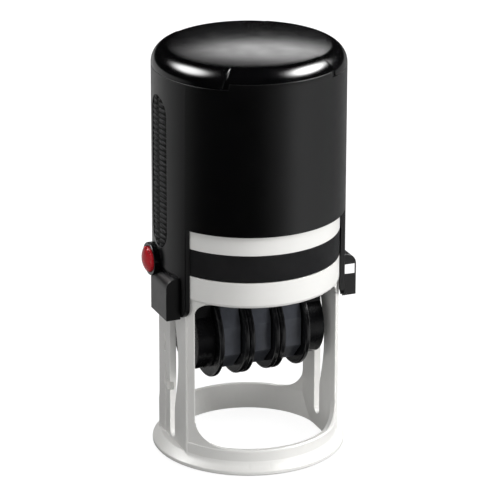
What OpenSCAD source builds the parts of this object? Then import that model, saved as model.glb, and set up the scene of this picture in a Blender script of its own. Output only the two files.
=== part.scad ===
// Round self-inking date stamp with three date wheels.
// Millimetres, +Z up, the front is -Y. The origin lies on the vertical axis,
// at the level of the surface that the base ring stands on.

/* [Cap] */
// Outer diameter of the cap
cap_d = 54; // [50:0.5:60]
// Height of the cap, from its lower edge to the crown
cap_h = 48; // [45:0.2:54]
// Wall of the cap
cap_wall = 1.25; // [1:0.05:1.6]
// Radius of the shoulder between the cap's side and its crown
shoulder_r = 5; // [4:0.25:6]
// Radius of the domed crown
crown_r = 240; // [150:10:400]
// Thickness of the top cover at the crown
cover_t = 2.2; // [1.8:0.1:3]
// Half angle of the plain front and back of the rim, between the ears
rim_half_angle = 34; // [20:1:45]
// How far the cover's plain rim lies behind its ears
rim_step = 0.4; // [0.2:0.05:0.6]
// Height of the plain rim's lower edge over the start of the shoulder
rim_lift = 1.4; // [0.8:0.1:2]
// Depth of the ears under the start of the shoulder
ear_drop = 0.3; // [0.2:0.1:3]
// Half width of the side tabs
tab_half_w = 12.5; // [11.5:0.1:13.5]
// Depth of the side tabs under the cap's lower edge
tab_drop = 26.4; // [24:0.2:27]
// Corner radius of the side tabs
tab_corner_r = 3; // [1:0.5:5]

/* [Grips and clips] */
// Width of a grip insert
grip_w = 10.4; // [7:0.2:13]
// Height of a grip insert's lower end over the middle of the lock button
grip_lift = 4.4; // [4.2:0.1:8]
// Gap between the cap's ears and a grip insert
grip_drop = 6.3; // [5:0.1:8]
// Depth of the pocket that a grip insert or a clip sits in
pocket_depth = 0.7; // [0.5:0.05:0.9]
// Number of ridges on a grip insert
grip_ridges = 29; // [16:1:32]
// Reach of a clip beyond the cap's side
clip_reach = 1.6; // [1:0.1:2]
// Height of a clip
clip_h = 12.2; // [11:0.1:13]
// Front end of a clip, ahead of the pivot
clip_front = 10; // [8:0.1:10.5]
// Back end of a clip, behind the pivot
clip_back = 2; // [1.8:0.1:2.6]
// Radius of a clip's rounded top edge
clip_round = 3; // [1:0.1:3.5]
// Height of the see-through eye in the right clip
eye_h = 2.4; // [1.5:0.1:3]
// Slope of the eye's floor, in degrees
eye_slope = 22; // [15:1:24]

/* [Lock button] */
// Diameter of the button
button_d = 7.3; // [6.8:0.1:7.8]
// How far the button stands out from the cap's side
button_reach = 3.5; // [3.3:0.1:4.2]
// Travel of the button
button_travel = 1.2; // [0.8:0.1:1.25]
// Height of the button's centre over the clip
button_lift = 1.9; // [1.8:0.1:3]
// Distance of the button's centre behind the middle of the side
button_back = 3; // [2:0.1:3.2]
// How far the button's housing stands out from the cap's side
housing_reach = 1.8; // [1.5:0.1:2.2]
// Wall of the button's housing
housing_wall = 1; // [0.7:0.1:1.4]

/* [Frame] */
// How far the base flange stands out past the cap
base_lip = 0.3; // [0:0.1:4]
// Height of the base ring
base_h = 6.8; // [5:0.1:9]
// Height of the base flange at its edge
flange_edge_h = 1.2; // [0.8:0.1:2]
// Height of the base flange at the wall
flange_h = 3.5; // [2.6:0.1:4]
// Diameter of the base opening at the floor
opening_d = 43; // [42:0.2:46]
// Wall of the arch and the upper ring
frame_wall = 2; // [1.4:0.1:2.6]
// How far the legs lie inside the upper ring
leg_inset = 0.7; // [0.3:0.1:1.2]
// Depth of the flats on the sides of the frame
flat_depth = 2.3; // [2.1:0.1:2.8]
// Thickness of a leg at its flat
leg_t = 2; // [1.6:0.1:2.6]
// Reach of the legs behind the middle
leg_back = 10; // [8:0.1:12]
// Height of the window's top edge
window_top = 49.2; // [48:0.2:52]
// Corner radius of the window
window_r = 4; // [2:0.5:6]
// Corner radius where the legs run into the base ring, at the front
sill_r = 6.4; // [3:0.2:8]
// Corner radius where the legs run into the base ring, at the back
heel_r = 8; // [4:0.5:9]
// Height of the arch between window and pad tray
arch_h = 7.5; // [6:0.1:8]
// Height of the ring that shows under the cap
ring_show = 5.8; // [4:0.1:8]
// Thickness of the deck that carries the return spring
deck_t = 2; // [1.4:0.1:3]

/* [Pad] */
// Height of the pad tray
tray_h = 7.9; // [7:0.1:9]
// Thickness of the ink pad
pad_t = 4.4; // [3.6:0.1:5]
// Wall of the tray beside the ink pad
tray_wall = 1.2; // [0.8:0.1:1.6]

/* [Date unit] */
// Drop of the pivot under the window's top edge
pivot_drop = 1.6; // [1.2:0.1:2.4]
// Diameter of the pivot pins
pivot_d = 3.2; // [2.6:0.1:3.6]
// Distance of the cam pins from the pivot
cam_arm = 3.4; // [3:0.1:3.8]
// Diameter of the cam pins
cam_d = 2.2; // [1.6:0.1:2.4]
// Thickness of the carrier's plate
plate_t = 2.2; // [1.6:0.1:3]
// Thickness of the text plate
text_t = 2; // [1.6:0.1:2.6]
// Distance of the wheel axle below the pivot
wheel_drop = 13; // [12.6:0.1:14]
// Diameter of a date wheel's flanges
wheel_d = 25.8; // [24:0.2:26.2]
// Thickness of a wheel flange
flange_t = 1.5; // [1.1:0.1:1.8]
// Depth of the flats of a band under the flanges
band_depth = 3; // [2.4:0.1:3.4]
// Width of the drum between two flanges
drum_w = 6; // [4.5:0.1:6.6]
// Thickness of a date band
band_t = 1.3; // [0.9:0.1:1.6]
// Half width of the flat printing face of a band
nose_half_w = 3; // [2:0.1:3.4]
// Diameter of the wheel axle
axle_d = 4; // [3:0.1:5]
// Thickness of the carrier's cheeks
cheek_t = 5.2; // [3.6:0.1:5.6]
// Radius of the cheeks round the wheel axle
cheek_r = 10; // [8:0.1:11]

/* [Return spring] */
// Mean radius of the return spring
spring_r = 9.6; // [8:0.1:11]
// Wire diameter of the return spring
spring_wire = 1.1; // [0.8:0.05:1.2]
// Turns of the return spring, the two closed end turns included
spring_turns = 7; // [6:1:7]

/* [Clearances] */
// Gap between the cap and the frame that it slides on
slide_gap = 0.25; // [0.2:0.05:0.4]
// Gap between a pin and the slot that guides it
slot_gap = 0.2; // [0.12:0.02:0.3]
// Radial gap of a shaft that turns or slides in its bore
run_gap = 0.05; // [0.02:0.01:0.09]
// Gap around a piece that is fixed in its seat
seat_gap = 0.02; // [0.01:0.01:0.06]
// Gap between the tray and its slot, and between pad and die
pad_gap = 0.2; // [0.1:0.05:0.3]
// Gap between the carrier and the legs
side_gap = 0.5; // [0.3:0.1:0.8]
// Gap between neighbouring wheels, bands and cheeks
wheel_gap = 0.2; // [0.1:0.05:0.3]

/* [Hidden] */
$fn = 96;
crown_fn = 1440;
over = 1;
wide = 2 * cap_d;
left_side = 180;
right_side = 0;
back_side = 90;

// Radii of the cap, frame and base
cap_r = cap_d / 2;
cap_in_r = cap_r - cap_wall;
pocket_r = cap_r - pocket_depth;
frame_r = cap_in_r - slide_gap;
frame_in_r = frame_r - frame_wall;
flat_x = frame_r - flat_depth;
leg_in_x = flat_x - leg_t;
leg_r = frame_r - leg_inset;
plate_overlap = 0.3;
plate_half_w = sqrt(frame_in_r * frame_in_r - leg_in_x * leg_in_x) + plate_overlap;
base_r = cap_r + base_lip;
base_step = 0.5;
base_wall_r = frame_r - base_step;
opening_r = opening_d / 2;
edge_chamfer = 0.4;
arch_edge = 1;
arch_edge_mid = 0.3;

// Heights of the frame and the cap
tray_z0 = window_top + arch_h;
tray_z1 = tray_z0 + tray_h;
deck_gap = 0.4;
deck_z0 = tray_z1 + deck_gap;
deck_z1 = deck_z0 + deck_t;
cap_z0 = tray_z1 + ring_show;
cap_z1 = cap_z0 + cap_h;
shoulder_z = shoulder_height(cap_r, cap_z1, shoulder_r);
ear_z0 = shoulder_z - ear_drop;
rim_z0 = shoulder_z + rim_lift;
tab_z0 = cap_z0 - tab_drop;
tongue_t = 0.5;

// Motion of the die: it starts at the pad and ends on the floor
pivot_z = window_top - pivot_drop;
die_z = tray_z0 - pad_gap;
travel = 2 * pivot_z - die_z;
collar_gap = 1;
collar_z1 = rim_z0 - travel - collar_gap;
pin_slot_r = pivot_d / 2 + slot_gap;
cam_slot_r = cam_d / 2 + slot_gap;
slot_over = 3;
track_step = 6;

// Pad tray
tray_inset = 1.4;
tray_floor_t = 1.6;
tray_hw = flat_x - tray_inset;
pad_r = tray_hw - tray_wall - pad_gap;
pad_z1 = tray_z0 + pad_t;
tray_front_y = -10;

// Grips, clips and lock button
grip_z1 = ear_z0 - grip_drop;
grip_base_t = 0.35;
grip_groove_w = 0.8;
ridge_inset = 0.1;
grip_half_angle = 30;
clip_x = cap_r + clip_reach;
clip_drop = 0.6;
clip_z0 = tab_z0 - clip_drop;
clip_z1 = clip_z0 + clip_h;
eye_z1 = clip_z1 - clip_round;
eye_wall = 0.4;
pin_wall = 0.3;
pocket_margin = 1.1;
button_r = button_d / 2;
button_z = clip_z1 + button_lift;
grip_z0 = button_z + grip_lift;
grip_h = grip_z1 - grip_z0;
ridge_pitch = grip_h / grip_ridges;
button_tip_x = cap_r + button_reach;
button_dome = 1.2;
button_roof_t = 1.1;
housing_x = cap_r + housing_reach;
stem_r = 1.8;
snap_r = 2.6;
snap_t = 0.5;
snap_gap = 0.1;
snap_x1 = sqrt(cap_in_r * cap_in_r - (button_back + snap_r) * (button_back + snap_r)) - snap_gap;
snap_x0 = snap_x1 - snap_t;
lock_r = 1.4;
lock_gap = 0.3;
lock_x = flat_x + lock_gap;
cup_wall = 0.6;
cup_roof_x = button_tip_x - button_roof_t;
cup_mouth_x = cap_r + button_travel + snap_gap;
button_wire = 0.4;
button_turns = 2;
button_coil_h = cup_roof_x - cap_r;

// Carrier, text plate, wheels and bands
die_gap = 1.2;
die_r = leg_in_x - die_gap;
plate_z1 = die_z - text_t;
plate_z0 = plate_z1 - plate_t;
wheel_z = pivot_z - wheel_drop;
wheel_r = wheel_d / 2;
wheel_w = drum_w + 2 * flange_t;
wheel_pitch = wheel_w + wheel_gap;
cheek_in_x = 1.5 * wheel_pitch + wheel_gap / 2;
cheek_out_x = cheek_in_x + cheek_t;
cheek_half_w = 7;
boss_wall = 0.7;
boss_r = cam_arm + cam_d / 2 + boss_wall;
boss_x = leg_in_x - side_gap;
pin_seat_t = 1.5;
pin_seat_x = cheek_in_x + pin_seat_t;
cam_gap = 0.3;
cam_x = flat_x - cam_gap;
axle_r = axle_d / 2;
axle_end = 0.4;
band_r = wheel_r - band_depth;
band_w = drum_w - 2 * wheel_gap;
band_fit = 0.1;
drum_r = band_r - band_t - band_fit;
nose_in_r = 0.7;
nose_r = band_t + nose_in_r;
nose_z = die_z - nose_r - wheel_z;
window_gap = 0.5;
date_window_y = nose_half_w + nose_r + window_gap;
plate_margin = 1.6;
plate_window_y = date_window_y + plate_margin;
border_w = 1.2;
border_h = 0.6;
band_flats = 8;
flat_turn = 360 / band_flats;
nose_steps = 6;

// Return spring
spring_z0 = deck_z1;
spring_seat_t = 0.8;
spring_z1 = cap_z1 - cover_t - spring_seat_t;
spring_fit = 0.5;
spring_guide_r = spring_r - spring_wire / 2 - spring_fit;
spring_guide_h = 3;
coil_rings = 12;
coil_sides = 6;
least_coil_gap = 0.5;

// Height where the shoulder starts on an outline whose crown is tangent to it
function shoulder_height(r, top, rs) =
    top - crown_r + sqrt((crown_r - rs) * (crown_r - rs) - (r - rs) * (r - rs));

// Centre of the cam pin, as [y, z], when the carrier has turned by an angle
function cam_at(a) = [-cam_arm * sin(a), pivot_z - travel * a / 180 - cam_arm * cos(a)];

// Point on the outer edge of the cam track at that angle
function track_edge(a) =
    let (ahead = cam_at(a + 1) - cam_at(a - 1))
    let (side = [ahead[1], -ahead[0]] / norm(ahead))
    cam_at(a) + cam_slot_r * side;

// Places of the three wheels along the axle
function wheel_x(i) = (i - 1) * wheel_pitch;

// Height of a coil at a number of turns: one closed turn at each end, even turns between
function coil_height(t, turns, closed, open) =
    t < 1 ? closed * t
    : t < turns - 1 ? closed + open * (t - 1)
    : closed + open * (turns - 2) + closed * (t - turns + 1);

// Half of the round outline of the cap, as an area right of the axis
module cap_outline(r, top, rs) {
    z = shoulder_height(r, top, rs);
    centre = top - crown_r;
    reach = crown_r / (crown_r - rs) * 1.05;
    square([r, z]);
    square([r - rs, z + rs / 2]);
    translate([r - rs, z]) circle(rs);
    intersection() {
        translate([0, centre]) circle(crown_r, $fn = crown_fn);
        polygon([[0, z], [0, top + over], [(r - rs) * reach, centre + (z - centre) * reach], [r - rs, z]]);
    }
}

// Area of a slot with round ends, from one point to the other along Y of the drawing
module upright_slot(half_w, low, high) {
    translate([-half_w, low]) square([2 * half_w, high - low]);
    translate([0, low]) circle(half_w);
    translate([0, high]) circle(half_w);
}

// Area with square upper and round lower corners
module tab_area(half_w, low, high, r) {
    translate([-half_w, low + r]) square([2 * half_w, high - low - r]);
    translate([-half_w + r, low]) square([2 * half_w - 2 * r, high - low]);
    for (side = [-1, 1]) translate([side * (half_w - r), low + r]) circle(r);
}

// Turns a drawing of (y, z) into a block along X between two places
module along_x(x0, x1) {
    translate([x0, 0, 0]) rotate([90, 0, 90]) linear_extrude(x1 - x0) children();
}

// Turns a drawing of (x, z) into a block along Y between two places
module along_y(y0, y1) {
    translate([0, y1, 0]) rotate([90, 0, 0]) linear_extrude(y1 - y0) children();
}

// A cylinder along X
module rod_x(r, x0, x1) {
    translate([x0, 0, 0]) rotate([0, 90, 0]) cylinder(h = x1 - x0, r = r);
}

// A ring around the vertical axis
module tube(r, r_in, z0, z1) {
    translate([0, 0, z0]) difference() {
        cylinder(h = z1 - z0, r = r);
        translate([0, 0, -over]) cylinder(h = z1 - z0 + 2 * over, r = r_in);
    }
}

// Part of a round form, centred on a compass angle
module sector(angle, half) {
    rotate([0, 0, angle - half]) rotate_extrude(angle = 2 * half) children();
}

// A coil of round wire along +Z, as one unbroken tube, with a pitch of its own in both end turns
module coil(r, wire, turns, length, closed) {
    open = (length - wire - 2 * closed) / max(turns - 2, 1);
    steps = turns * coil_rings;
    centres = [for (i = [0:steps]) let (t = i / coil_rings)
        [r * cos(360 * t), r * sin(360 * t), wire / 2 + coil_height(t, turns, closed, open)]];
    points = [for (i = [0:steps], k = [0:coil_sides - 1])
        let (t = i / coil_rings, a = 360 * k / coil_sides)
        centres[i] + wire / 2 * [cos(a) * cos(360 * t), cos(a) * sin(360 * t), sin(a)]];
    sides = [for (i = [0:steps - 1], k = [0:coil_sides - 1])
        let (a = i * coil_sides + k, b = i * coil_sides + (k + 1) % coil_sides)
        each [[a, b, a + coil_sides], [b, b + coil_sides, a + coil_sides]]];
    last = steps * coil_sides;
    ends = [for (k = [1:coil_sides - 2]) each [[0, k + 1, k], [last, last + k, last + k + 1]]];
    gaps = [for (i = [0:steps - coil_rings]) norm(centres[i + coil_rings] - centres[i]) - wire];
    echo(least_gap = min(gaps));
    polyhedron(points, concat(sides, ends));
}

module base_ring() {
    rotate_extrude() polygon([
        [opening_r, 0],
        [base_r - edge_chamfer, 0],
        [base_r, edge_chamfer],
        [base_r, flange_edge_h],
        [base_wall_r, flange_h],
        [base_wall_r, base_h - edge_chamfer],
        [base_wall_r - edge_chamfer, base_h],
        [frame_in_r, base_h]
    ]);
}

// Area of the window as (x, z)
module window_area() {
    middle = (base_h + window_top) / 2;
    tab_area(leg_in_x, base_h, middle + over, sill_r);
    translate([0, window_top]) mirror([0, 1]) tab_area(leg_in_x, 0, window_top - middle, window_r);
}

// Curved leg walls around the window, and a flat plate in the middle of each leg
module legs() {
    difference() {
        union() {
            difference() {
                tube(leg_r, frame_in_r, 0, window_top + over);
                along_y(-wide, wide) window_area();
            }
            for (side = [-1, 1]) translate([side * (leg_in_x + leg_t / 2), 0, collar_z1 / 2])
                cube([leg_t, 2 * plate_half_w, collar_z1], center = true);
        }
        along_x(-wide, wide) translate([leg_back + cap_r, 0]) tab_area(cap_r, base_h, window_top, heel_r);
    }
}

module upper_body() {
    rotate_extrude() polygon([
        [frame_in_r, window_top],
        [frame_r - arch_edge, window_top],
        [frame_r - arch_edge_mid, window_top + arch_edge_mid],
        [frame_r, window_top + arch_edge],
        [frame_r, collar_z1 - over],
        [frame_r - edge_chamfer, collar_z1],
        [frame_in_r, collar_z1]
    ]);
    translate([0, 0, deck_z0]) cylinder(h = deck_t, r = frame_in_r + over / 2);
    translate([0, 0, deck_z0]) cylinder(h = deck_t + spring_guide_h, r = spring_guide_r);
}

// Slots in the legs: a straight one for the pivot pins with a bulge for the cam pins
module track_area() {
    upright_slot(pin_slot_r, pivot_z - travel - slot_over, pivot_z);
    polygon(concat(
        [for (a = [0:track_step:180]) track_edge(a)],
        [[0, pivot_z - travel], [0, pivot_z - cam_arm]]
    ));
    for (a = [0, 180]) translate(cam_at(a)) circle(cam_slot_r);
}

// Room for the pad tray, open at the front
module tray_slot() {
    half = tray_hw + pad_gap / 2;
    translate([0, 0, tray_z0]) linear_extrude(tray_h) {
        circle(half);
        translate([-half, -half]) square([2 * half, half]);
        translate([-wide, -wide]) square([2 * wide, wide + tray_front_y]);
    }
}

module base_frame() {
    groove_y = 5;
    groove_w = 1;
    groove_depth = 0.6;
    groove_shares = [[0, 0.3], [0.32, 0.45], [0.54, 0.67]];
    leg_h = window_top - flange_h;
    color("#d9d8d2") difference() {
        union() {
            base_ring();
            legs();
            upper_body();
        }
        for (side = [0, 1]) mirror([side, 0, 0]) {
            translate([flat_x, -wide / 2, flange_h]) cube([wide, wide, wide]);
            for (share = groove_shares)
                translate([flat_x - groove_depth, groove_y, flange_h + share[0] * leg_h])
                    cube([wide, groove_w, (share[1] - share[0]) * leg_h]);
        }
        along_x(-wide, wide) track_area();
        tray_slot();
        for (drop = [0, travel]) translate([0, button_back, button_z - drop])
            rod_x(lock_r + slot_gap, -wide, button_travel + slot_gap - lock_x);
    }
}

module pad_tray() {
    z0 = tray_z0 + pad_gap / 2;
    z1 = tray_z1 - pad_gap / 2;
    finger_r = 3;
    color("#17181a") difference() {
        translate([0, 0, z0]) linear_extrude(z1 - z0) {
            circle(tray_hw);
            translate([-tray_hw, tray_front_y - over]) square([2 * tray_hw, over - tray_front_y]);
            intersection() {
                circle(frame_r);
                translate([-wide, -wide]) square([2 * wide, wide + tray_front_y - pad_gap]);
            }
        }
        translate([0, 0, z0 - over]) cylinder(h = pad_z1 + seat_gap - z0 + over, r = pad_r + pad_gap);
        translate([0, 0, pad_z1 + tray_floor_t]) cylinder(h = tray_h, r = pad_r - finger_r);
    }
}

module ink_pad() {
    color("#3a2f4a") translate([0, 0, tray_z0]) cylinder(h = pad_t, r = pad_r);
}

module return_spring() {
    color("#a9adb3") translate([0, 0, spring_z0])
        coil(spring_r, spring_wire, spring_turns, spring_z1 - spring_z0, spring_wire + least_coil_gap);
}

// Area of a grip's pocket as (y, z)
module grip_area(gap) {
    half = grip_w / 2;
    upright_slot(half + gap, grip_z0 + half, grip_z1 - half);
}

// Area of the shallow pocket around a clip as (y, z)
module clip_pocket_area() {
    front = clip_front + pocket_margin;
    width = front + clip_back + seat_gap;
    corner = 3;
    top = clip_z1 + pocket_margin;
    translate([-front + corner, 0]) square([width - corner, top]);
    translate([-front, 0]) square([width, top - corner]);
    translate([-front + corner, top - corner]) circle(corner);
}

// The shell is one ring with the ears' room, the front and the back cut away, its seam at the back
module cap_shell() {
    ear_half = 90 - rim_half_angle;
    color("#1d1e20") difference() {
        rotate([0, 0, back_side]) rotate_extrude() intersection() {
            cap_outline(cap_r, cap_z1, shoulder_r);
            translate([cap_in_r, tab_z0]) square([cap_wall, rim_z0 - tab_z0]);
        }
        for (angle = [left_side, right_side]) sector(angle, ear_half)
            translate([cap_in_r + tongue_t, ear_z0]) square([cap_wall, cap_h]);
        along_x(-wide, wide) difference() {
            translate([-wide, 0]) square([2 * wide, cap_z0]);
            tab_area(tab_half_w, tab_z0, cap_z0 + over, tab_corner_r);
        }
        for (side = [0, 1]) mirror([side, 0, 0]) {
            difference() {
                union() {
                    along_x(0, wide) grip_area(seat_gap);
                    along_x(0, wide) clip_pocket_area();
                }
                translate([0, 0, -over]) cylinder(h = cap_z1, r = pocket_r);
            }
            translate([0, 0, pivot_z]) rod_x(pivot_d / 2 + seat_gap, 0, wide);
        }
        translate([0, button_back, button_z]) rod_x(stem_r + run_gap, -wide, 0);
    }
}

module top_cover() {
    plain_r = cap_r - rim_step;
    inner_r = plain_r - cap_wall;
    inner_rs = shoulder_r - cap_wall;
    ear_half = 90 - rim_half_angle - seat_gap;
    color("#0b0b0c") union() {
        difference() {
            union() {
                rotate_extrude() difference() {
                    cap_outline(plain_r, cap_z1, shoulder_r);
                    square([wide, rim_z0 + seat_gap]);
                }
                for (angle = [left_side, right_side]) sector(angle, ear_half) difference() {
                    cap_outline(cap_r, cap_z1, shoulder_r);
                    square([wide, ear_z0 + seat_gap]);
                    square([cap_in_r + tongue_t + seat_gap, rim_z0 + seat_gap]);
                }
            }
            rotate_extrude() cap_outline(inner_r, cap_z1 - cover_t, inner_rs);
            tube(cap_in_r + tongue_t + seat_gap, inner_r - over, 0, rim_z0 + seat_gap);
        }
        translate([0, 0, spring_z1])
            cylinder(h = cap_z1 - spring_z1 - cover_t / 2, r = spring_r + spring_wire);
        translate([0, 0, spring_z1 - spring_guide_h])
            cylinder(h = spring_guide_h + over, r = spring_guide_r);
    }
}

// A grip insert on the +X side: a plate with ridges, parted by a groove
module grip() {
    ridge_r = cap_r - ridge_inset;
    valley_r = pocket_r + grip_base_t;
    ridges = [for (i = [0:grip_ridges - 1]) let (z = grip_z0 + (i + 0.5) * ridge_pitch)
        each [[valley_r, z - ridge_pitch / 4], [ridge_r, z], [valley_r, z + ridge_pitch / 4]]];
    difference() {
        intersection() {
            sector(right_side, grip_half_angle) polygon(concat(
                [[pocket_r + seat_gap, grip_z0]], [[valley_r, grip_z0]], ridges,
                [[valley_r, grip_z1]], [[pocket_r + seat_gap, grip_z1]]
            ));
            along_x(0, wide) grip_area(0);
        }
        translate([valley_r, -grip_groove_w / 2, grip_z0 - over])
            cube([wide, grip_groove_w, grip_h + 2 * over]);
    }
}

module left_grip() { color("#26272a") mirror([1, 0, 0]) grip(); }
module right_grip() { color("#26272a") grip(); }

// A clip on the +X side, seated in its pocket, with a blind hole for the pivot pin
module clip() {
    difference() {
        along_y(-clip_front, clip_back) {
            translate([0, clip_z0]) square([clip_x, clip_h - clip_round]);
            translate([0, clip_z0]) square([clip_x - clip_round, clip_h]);
            translate([clip_x - clip_round, clip_z1 - clip_round]) circle(clip_round);
        }
        cylinder(h = cap_z0, r = pocket_r + seat_gap);
        translate([0, 0, pivot_z]) rod_x(pivot_d / 2 + seat_gap, 0, cap_r + seat_gap);
    }
}

// The left clip leaves room for the button's housing
module left_clip() {
    color("#151617") difference() {
        mirror([1, 0, 0]) clip();
        translate([0, button_back, button_z]) rod_x(button_r + housing_wall + seat_gap, -wide, 0);
    }
}

// The right clip has an eye: its floor falls to the back, a thin post closes its outer front corner
module right_clip() {
    front = -clip_front - over;
    back = clip_back + over;
    low = eye_z1 - eye_h;
    color("#151617") difference() {
        clip();
        difference() {
            along_x(0, wide) polygon([
                [front, low],
                [front, eye_z1],
                [back, eye_z1],
                [back, low - (back - front) * tan(eye_slope)]
            ]);
            translate([0, -pivot_d, 0]) cube([cap_r + pin_wall, wide, cap_z0]);
            translate([clip_x - eye_wall, front, 0]) cube([wide, over + eye_wall, cap_z0]);
        }
    }
}

// A pivot pin on the +X side, from the carrier's boss to the clip
module pivot_pin() {
    translate([0, 0, pivot_z]) rod_x(pivot_d / 2, pin_seat_x + side_gap, cap_r);
}

module left_pivot_pin() { color("#b9bcc0") mirror([1, 0, 0]) pivot_pin(); }
module right_pivot_pin() { color("#b9bcc0") pivot_pin(); }

module button_housing() {
    color("#121314") difference() {
        translate([0, button_back, button_z]) rod_x(button_r + housing_wall, -housing_x, 0);
        cylinder(h = cap_z1, r = cap_r + seat_gap);
        translate([0, button_back, button_z]) rod_x(button_r + run_gap, -wide, 0);
    }
}

module button_spring() {
    r = (stem_r + button_r - cup_wall) / 2;
    color("#a9adb3") translate([-cap_r, button_back, button_z]) rotate([0, -90, 0])
        coil(r, button_wire, button_turns, button_coil_h, (button_coil_h - button_wire) / button_turns);
}

module lock_button() {
    color("#b82a30") translate([0, button_back, button_z]) union() {
        difference() {
            union() {
                rod_x(button_r, button_dome - button_tip_x, -cup_mouth_x);
                dome_r = (button_r * button_r + button_dome * button_dome) / (2 * button_dome);
                intersection() {
                    translate([dome_r - button_tip_x, 0, 0]) sphere(dome_r);
                    rod_x(button_r, -button_tip_x, over - cup_roof_x);
                }
            }
            rod_x(button_r - cup_wall, -cup_roof_x, 0);
        }
        rod_x(stem_r, -cup_roof_x - over / 4, -snap_x0);
        rod_x(snap_r, -snap_x1, -snap_x0);
        rod_x(lock_r, -snap_x1, -lock_x);
    }
}

// Outline of one cheek as (y, z): a disc round the axle and an arm up to the plate
module cheek_area() {
    translate([0, wheel_z]) circle(cheek_r);
    translate([-cheek_half_w, wheel_z]) square([2 * cheek_half_w, plate_z1 - wheel_z]);
}

module date_carrier() {
    color("#101113") difference() {
        union() {
            translate([0, 0, plate_z0]) cylinder(h = plate_t, r = die_r);
            for (side = [0, 1]) mirror([side, 0, 0]) {
                along_x(cheek_in_x, cheek_out_x) cheek_area();
                translate([0, 0, pivot_z]) rod_x(boss_r, cheek_in_x, boss_x);
                translate([0, 0, pivot_z - cam_arm]) rod_x(cam_d / 2, boss_x - over, cam_x);
            }
        }
        translate([-cheek_in_x, -plate_window_y, 0]) cube([2 * cheek_in_x, 2 * plate_window_y, cap_z0]);
        for (side = [0, 1]) mirror([side, 0, 0]) {
            translate([0, 0, pivot_z]) rod_x(pivot_d / 2 + run_gap, pin_seat_x, wide);
            translate([0, 0, wheel_z]) rod_x(axle_r + seat_gap, 0, wide);
        }
    }
}

module text_plate() {
    color("#8d8f8c") difference() {
        union() {
            translate([0, 0, plate_z1]) cylinder(h = text_t - border_h, r = die_r);
            tube(die_r, die_r - border_w, plate_z1, die_z);
            for (side = [-1, 1])
                translate([-cheek_in_x, side * (date_window_y + border_w) - border_w / 2, plate_z1])
                    cube([2 * cheek_in_x, border_w, text_t]);
        }
        translate([-cheek_in_x, -date_window_y, 0]) cube([2 * cheek_in_x, 2 * date_window_y, cap_z0]);
    }
}

module nose_bar() {
    half = nose_half_w;
    low = plate_z0 - over;
    high = die_z - band_t - band_fit;
    color("#c9c7c0") along_x(seat_gap - cheek_in_x, cheek_in_x - seat_gap)
        translate([-half, low]) square([2 * half, high - low]);
}

module wheel_axle() {
    end_x = cheek_out_x + axle_end;
    color("#b9bcc0") translate([0, 0, wheel_z]) rod_x(axle_r, -end_x, end_x);
}

// Area inside a belt with flats at r from the axle and rn at both nose corners, as (y, z) about the axle
module belt_area(r, rn) {
    corner_r = r / cos(flat_turn / 2);
    first = 1.5 * flat_turn;
    run = corner_r * [sin(first), cos(first)] - [nose_half_w, nose_z];
    lean = atan2(run[0], run[1]) - acos(rn / norm(run));
    round_drum = [for (a = [first:flat_turn:360 - first]) corner_r * [sin(a), cos(a)]];
    round_left = [for (i = [0:nose_steps]) let (a = -lean + lean * i / nose_steps)
        [-nose_half_w, nose_z] + rn * [sin(a), cos(a)]];
    round_right = [for (i = [0:nose_steps]) let (a = lean * i / nose_steps)
        [nose_half_w, nose_z] + rn * [sin(a), cos(a)]];
    polygon(concat(round_drum, round_left, round_right));
}

module date_band(i) {
    color("#4a4c4f") translate([wheel_x(i), 0, wheel_z]) along_x(-band_w / 2, band_w / 2) difference() {
        belt_area(band_r, nose_r);
        belt_area(band_r - band_t, nose_r - band_t);
    }
}

module date_wheel(i) {
    color("#141517") translate([wheel_x(i), 0, wheel_z]) difference() {
        union() {
            rod_x(drum_r, -wheel_w / 2, wheel_w / 2);
            for (side = [0, 1]) mirror([side, 0, 0]) rod_x(wheel_r, drum_w / 2, wheel_w / 2);
        }
        rod_x(axle_r + run_gap, -wide, wide);
    }
}

module day_band() { date_band(0); }
module month_band() { date_band(1); }
module year_band() { date_band(2); }
module day_wheel() { date_wheel(0); }
module month_wheel() { date_wheel(1); }
module year_wheel() { date_wheel(2); }

base_frame();
pad_tray();
ink_pad();
return_spring();
cap_shell();
top_cover();
left_grip();
right_grip();
left_clip();
right_clip();
left_pivot_pin();
right_pivot_pin();
button_housing();
button_spring();
lock_button();
date_carrier();
text_plate();
nose_bar();
wheel_axle();
day_band();
month_band();
year_band();
day_wheel();
month_wheel();
year_wheel();
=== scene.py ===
"""Looks of a round self-inking date stamp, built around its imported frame. Metres, +Z up, front is -Y."""

import math

import bmesh
import bpy
from mathutils import Matrix, Vector


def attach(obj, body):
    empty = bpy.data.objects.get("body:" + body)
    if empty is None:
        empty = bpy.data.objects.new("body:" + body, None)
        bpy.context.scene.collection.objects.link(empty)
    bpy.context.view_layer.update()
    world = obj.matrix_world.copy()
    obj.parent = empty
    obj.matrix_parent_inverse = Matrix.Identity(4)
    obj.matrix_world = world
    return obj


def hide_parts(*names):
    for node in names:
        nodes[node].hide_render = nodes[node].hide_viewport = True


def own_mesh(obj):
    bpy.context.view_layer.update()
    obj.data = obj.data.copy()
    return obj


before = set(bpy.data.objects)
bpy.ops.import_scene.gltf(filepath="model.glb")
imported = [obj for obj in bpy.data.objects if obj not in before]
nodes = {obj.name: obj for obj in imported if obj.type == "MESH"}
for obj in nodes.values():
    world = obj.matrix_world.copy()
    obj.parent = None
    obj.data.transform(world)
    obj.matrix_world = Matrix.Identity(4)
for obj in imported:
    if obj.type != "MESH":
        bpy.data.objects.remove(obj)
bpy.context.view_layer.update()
scene = bpy.context.scene

MM = 0.001
TAU = 2 * math.pi
TURN_ROWS = 96

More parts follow.
